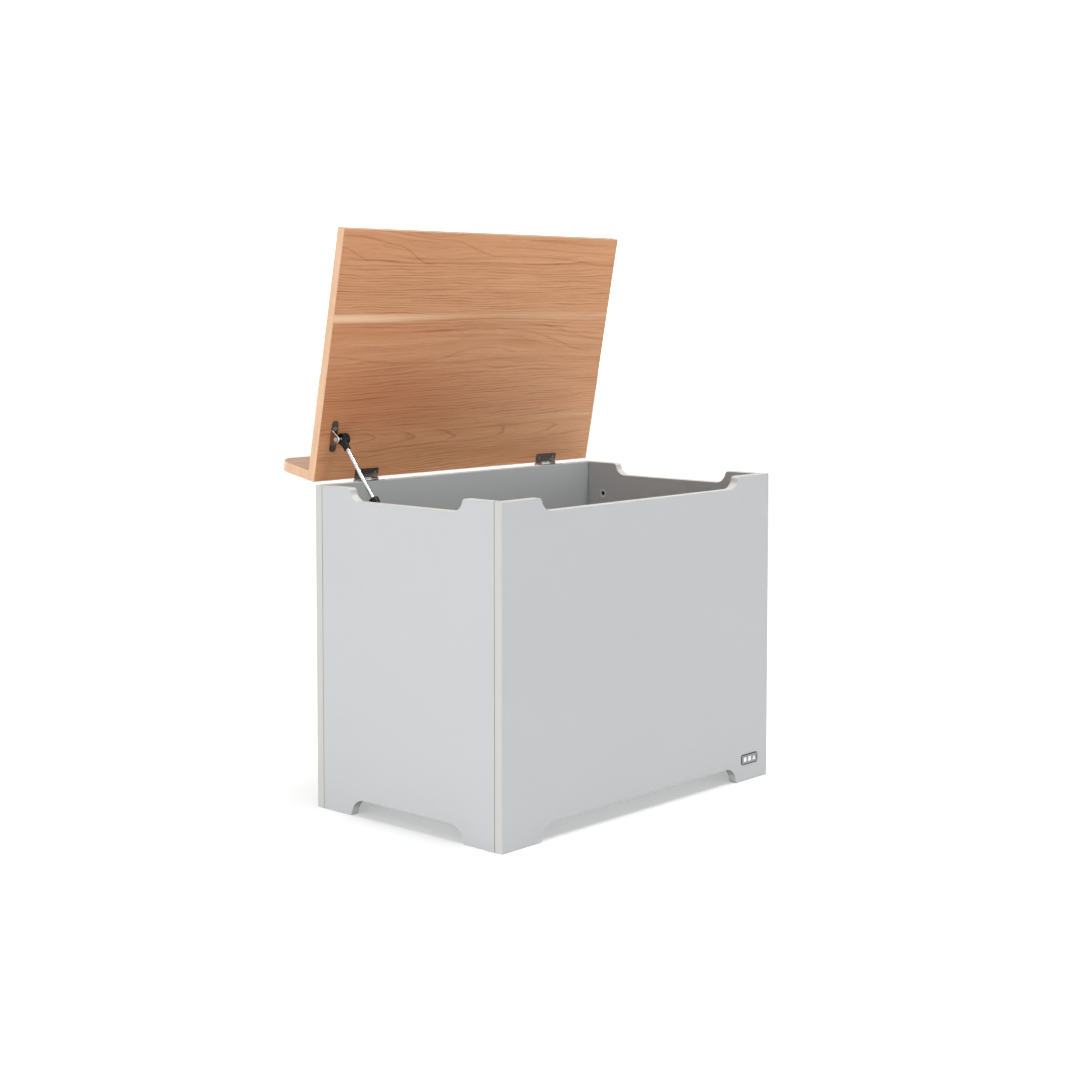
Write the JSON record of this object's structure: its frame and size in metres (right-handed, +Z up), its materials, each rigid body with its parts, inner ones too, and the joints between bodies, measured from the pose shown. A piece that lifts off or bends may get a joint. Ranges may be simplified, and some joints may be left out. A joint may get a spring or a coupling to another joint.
{
  "type": "toy box",
  "caption": "Open-top toy box on scooped feet, with hand notches and a hinged lid whose rear upstand becomes a low backrest; a gas strut holds the lid open.",
  "frame": {"origin": "on the floor, at the middle of the footprint of the whole outline with the lid open, as modelled", "axes": "+X to the right seen from the front, +Y to the back, where the lid is hinged, +Z up"},
  "size_m": [0.65, 0.4958, 0.9098],
  "materials": {
    "painted_board": "satin pale grey paint on board",
    "lid_board": "satin wood-effect board, grain along X",
    "lid_edging": "satin edge band, a paler tone of the lid",
    "cam_zinc": "matt zinc casting",
    "bright_steel": "zinc plated",
    "beech": "bare",
    "badge_plate": "dark satin plate with a raised rim and pale raised shapes",
    "hinge_steel": "dark bronzed steel",
    "bracket_steel": "dark bronzed steel",
    "stud_steel": "zinc plated",
    "rod_chrome": "polished",
    "strut_plastic": "black",
    "strut_tube": "satin black"
  },
  "bodies": {
    "carcass": {"front_panel": "painted_board", "back_panel": "painted_board", "left_side_panel": "painted_board", "right_side_panel": "painted_board", "base_panel": "painted_board", "side_cam_locks": "cam_zinc", "side_cam_bolts": "bright_steel", "side_dowels": "beech", "base_cam_locks": "cam_zinc", "base_cam_bolts": "bright_steel", "base_dowels": "beech", "badge": "badge_plate", "box_hinge_leaf_left": "hinge_steel", "box_hinge_leaf_right": "hinge_steel", "hinge_pin_left": "hinge_steel", "hinge_pin_right": "hinge_steel", "box_hinge_screws": "bright_steel", "strut_side_bracket": "bracket_steel", "strut_side_bracket_screws": "bright_steel"},
    "lid": {"lid_panel": "lid_board", "lid_edge_band": "lid_edging", "lid_upstand": "lid_board", "upstand_edge_band": "lid_edging", "upstand_cam_locks": "cam_zinc", "upstand_cam_bolts": "bright_steel", "upstand_dowels": "beech", "lid_hinge_leaf_left": "hinge_steel", "lid_hinge_leaf_right": "hinge_steel", "lid_hinge_screws": "bright_steel", "strut_lid_bracket": "bracket_steel", "strut_lid_bracket_screws": "bright_steel", "strut_upper_ball_stud": "stud_steel"},
    "strut_rod": {"strut_upper_socket": "strut_plastic", "strut_piston_rod": "rod_chrome", "strut_piston": "strut_plastic"},
    "strut_cylinder": {"strut_cylinder_tube": "strut_tube", "strut_gland_cap": "strut_plastic", "strut_rod_guide": "strut_plastic", "strut_lower_socket": "strut_plastic", "strut_lower_ball_stud": "stud_steel"}
  },
  "joints": [
    {"name": "lid_hinge", "type": "hinge", "parent": "carcass", "child": "lid", "pos_m": [0, 0.1571, 0.511], "axis": [-1, 0, 0], "range_deg": [-79.45, 0]},
    {"name": "strut_pivot", "type": "hinge", "parent": "lid", "child": "strut_rod", "pos_m": [-0.288, 0.13154, 0.58095], "axis": [-1, 0, 0], "range_deg": [0, 84.67]},
    {"name": "strut_slide", "type": "slide", "parent": "strut_rod", "child": "strut_cylinder", "axis": [0, 0.6225, 0.7826], "range_m": [0, 0.09359]}
  ],
  "couplings": [
    {"joint": "strut_pivot", "follows": "lid_hinge", "ratio": -1.0655},
    {"joint": "strut_slide", "follows": "lid_hinge", "m_per_rad": -0.067479}
  ]
}
